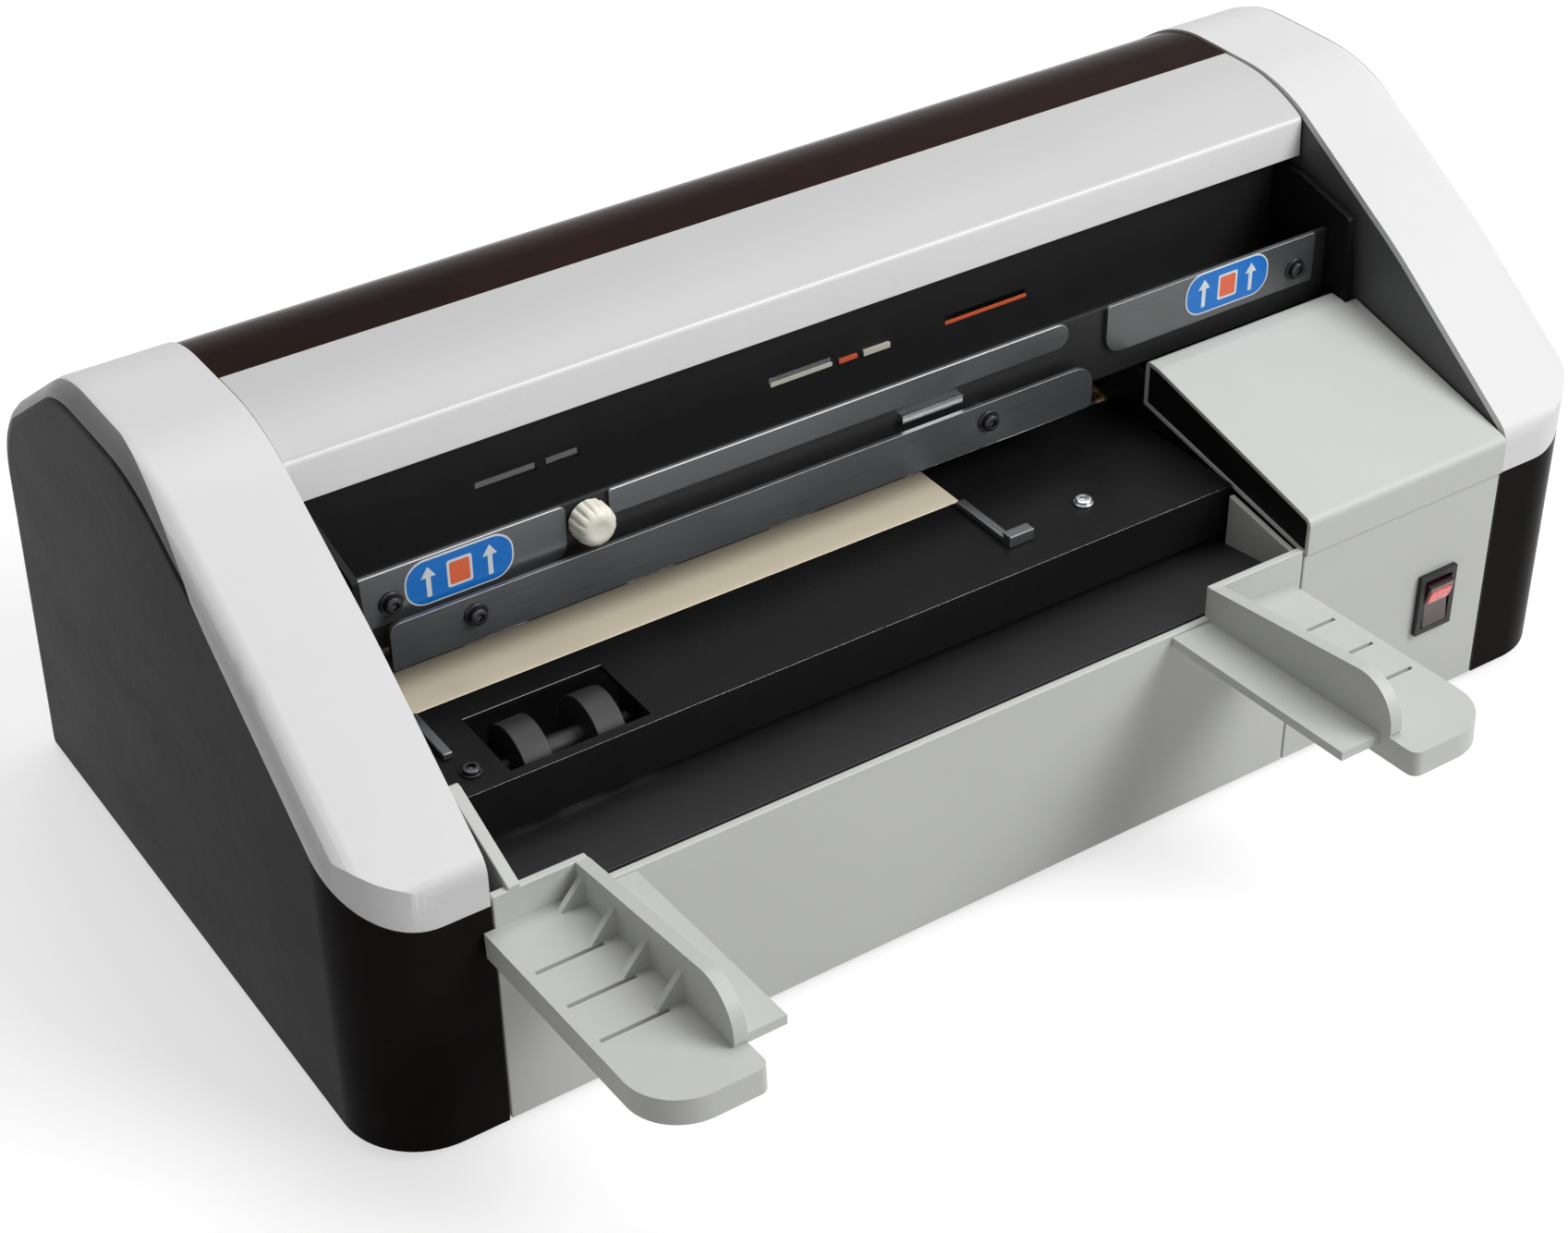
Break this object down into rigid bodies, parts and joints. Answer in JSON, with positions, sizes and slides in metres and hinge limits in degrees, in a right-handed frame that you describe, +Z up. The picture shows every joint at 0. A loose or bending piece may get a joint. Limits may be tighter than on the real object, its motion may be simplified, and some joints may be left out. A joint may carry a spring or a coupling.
{
  "type": "business card cutter",
  "caption": "Motorised desktop card cutter: a sheet goes in between two front guides and is chopped into rows, and the rows are split into cards under a hinged lid.",
  "frame": {"origin": "middle of the footprint's bounding box, on the table under the rubber feet", "axes": "+X along the width, to the right of a user standing in front; -Y towards the user; +Z up"},
  "size_m": [0.434, 0.3223, 0.169],
  "materials": {
    "light_cover": "satin light grey moulded plastic",
    "grey_cover": "satin light grey moulded plastic, slightly green",
    "black_gloss": "glossy near-black moulded plastic",
    "smoked_gloss": "glossy smoked brown plastic",
    "black_matte": "matt black plastic",
    "black_steel": "black powder-coated sheet steel",
    "dark_metal": "dark grey satin steel",
    "zinc_steel": "zinc-plated steel",
    "bright_steel": "ground steel",
    "screw_black": "black oxide steel",
    "bronze": "sintered bronze",
    "white_nylon": "white nylon",
    "ivory_plastic": "ivory plastic",
    "beige_plastic": "beige plastic",
    "red_plastic": "translucent red plastic",
    "green_board": "green lacquered board",
    "rubber": "black rubber"
  },
  "bodies": {
    "machine": {"base_plate": "zinc_steel", "left_frame": "black_steel", "mid_frame": "black_steel", "right_frame": "black_steel", "tie_rods": "bright_steel", "feet": "rubber", "left_side_shell": "black_gloss", "right_side_shell": "black_gloss", "left_band": "light_cover", "right_band": "light_cover", "front_panel": "grey_cover", "box_hood": "grey_cover", "box_side_plate": "black_steel", "switch_panel": "grey_cover", "rear_panel": "grey_cover", "hood_hinge_pins": "bright_steel", "left_guide_plate": "dark_metal", "mid_guide_bar": "dark_metal", "right_guide_plate": "dark_metal", "guard_plate": "dark_metal", "inner_cover": "black_matte", "feed_deck": "black_gloss", "strip_guide_rails": "bright_steel", "transfer_plate": "beige_plastic", "sheet_floor": "black_matte", "bed_knife": "bright_steel", "exit_chutes": "zinc_steel", "bearings": "bronze", "gear_motor": "zinc_steel", "power_board": "green_board", "mains_inlet": "black_matte", "switch_bezel": "black_matte", "left_guide": "grey_cover", "right_guide": "grey_cover", "screws": "screw_black"},
    "lid": {"hood": "light_cover", "smoked_window": "smoked_gloss"},
    "rocker": {"switch_rocker": "red_plastic"},
    "knob": {"offset_knob": "ivory_plastic"},
    "split_lower": {"split_lower_shaft": "bright_steel", "split_lower_discs": "bright_steel", "split_lower_gear": "bronze"},
    "split_upper": {"split_upper_shaft": "bright_steel", "split_upper_discs": "bright_steel", "split_upper_gear": "bronze"},
    "row_idler": {"row_idler_gear": "white_nylon"},
    "row_feed": {"row_feed_shaft": "bright_steel", "row_feed_sleeves": "rubber", "row_feed_gear": "white_nylon"},
    "row_pinch": {"row_pinch_roller": "dark_metal"},
    "front_idler": {"front_idler_gear": "white_nylon"},
    "sheet_feed": {"sheet_feed_shaft": "bright_steel", "sheet_feed_sleeves": "rubber", "sheet_feed_gear": "white_nylon"},
    "hold_wheels": {"sheet_hold_wheels": "black_matte"},
    "motor_drive": {"motor_pinion": "bronze"},
    "rear_idler": {"rear_idler_gear": "white_nylon"},
    "knife": {"knife_drum": "bright_steel", "knife_blade": "bright_steel", "knife_gear": "white_nylon"}
  },
  "joints": [
    {"name": "lid_hinge", "type": "hinge", "parent": "machine", "child": "lid", "pos_m": [0, 0.142, 0.113], "axis": [-1, 0, 0], "range_deg": [0, 75]},
    {"name": "switch_rock", "type": "hinge", "parent": "machine", "child": "rocker", "pos_m": [0.156, -0.0715, 0.042], "axis": [-1, 0, 0], "range_deg": [0, 14]},
    {"name": "knob_turn", "type": "hinge", "parent": "machine", "child": "knob", "pos_m": [-0.1, 0.005, 0.1255], "axis": [0, 1, 0], "continuous": true},
    {"name": "split_lower_spin", "type": "hinge", "parent": "machine", "child": "split_lower", "pos_m": [0, 0.054, 0.0815], "axis": [1, 0, 0], "continuous": true},
    {"name": "split_upper_spin", "type": "hinge", "parent": "machine", "child": "split_upper", "pos_m": [0, 0.054, 0.1005], "axis": [1, 0, 0], "continuous": true},
    {"name": "row_idler_spin", "type": "hinge", "parent": "machine", "child": "row_idler", "pos_m": [0, 0.04092, 0.06842], "axis": [1, 0, 0], "continuous": true},
    {"name": "row_feed_spin", "type": "hinge", "parent": "machine", "child": "row_feed", "pos_m": [0, 0.029, 0.0819], "axis": [1, 0, 0], "continuous": true},
    {"name": "row_pinch_spin", "type": "hinge", "parent": "machine", "child": "row_pinch", "pos_m": [0, 0.029, 0.0981], "axis": [1, 0, 0], "continuous": true},
    {"name": "front_idler_spin", "type": "hinge", "parent": "machine", "child": "front_idler", "pos_m": [0, 0.00895, 0.05958], "axis": [1, 0, 0], "continuous": true},
    {"name": "sheet_feed_spin", "type": "hinge", "parent": "machine", "child": "sheet_feed", "pos_m": [0, -0.023, 0.05781], "axis": [1, 0, 0], "continuous": true},
    {"name": "hold_wheel_spin", "type": "hinge", "parent": "machine", "child": "hold_wheels", "pos_m": [0, -0.023, 0.0786], "axis": [1, 0, 0], "continuous": true},
    {"name": "motor_spin", "type": "hinge", "parent": "machine", "child": "motor_drive", "pos_m": [0, -0.02613, 0.04008], "axis": [1, 0, 0], "continuous": true},
    {"name": "rear_idler_spin", "type": "hinge", "parent": "machine", "child": "rear_idler", "pos_m": [0, 0.07063, 0.06351], "axis": [1, 0, 0], "continuous": true},
    {"name": "knife_spin", "type": "hinge", "parent": "machine", "child": "knife", "pos_m": [0, 0.077, 0.0383], "axis": [1, 0, 0], "continuous": true}
  ],
  "couplings": [
    {"joint": "split_upper_spin", "follows": "split_lower_spin", "ratio": -1},
    {"joint": "row_idler_spin", "follows": "split_lower_spin", "ratio": -1.0556},
    {"joint": "row_feed_spin", "follows": "split_lower_spin", "ratio": 1.0556},
    {"joint": "row_pinch_spin", "follows": "split_lower_spin", "ratio": -1.0556},
    {"joint": "front_idler_spin", "follows": "split_lower_spin", "ratio": -0.45238},
    {"joint": "sheet_feed_spin", "follows": "split_lower_spin", "ratio": 0.86364},
    {"joint": "hold_wheel_spin", "follows": "split_lower_spin", "ratio": -0.61853},
    {"joint": "motor_spin", "follows": "split_lower_spin", "ratio": -1.3571},
    {"joint": "rear_idler_spin", "follows": "split_lower_spin", "ratio": -0.63333},
    {"joint": "knife_spin", "follows": "split_lower_spin", "ratio": 0.86364}
  ]
}
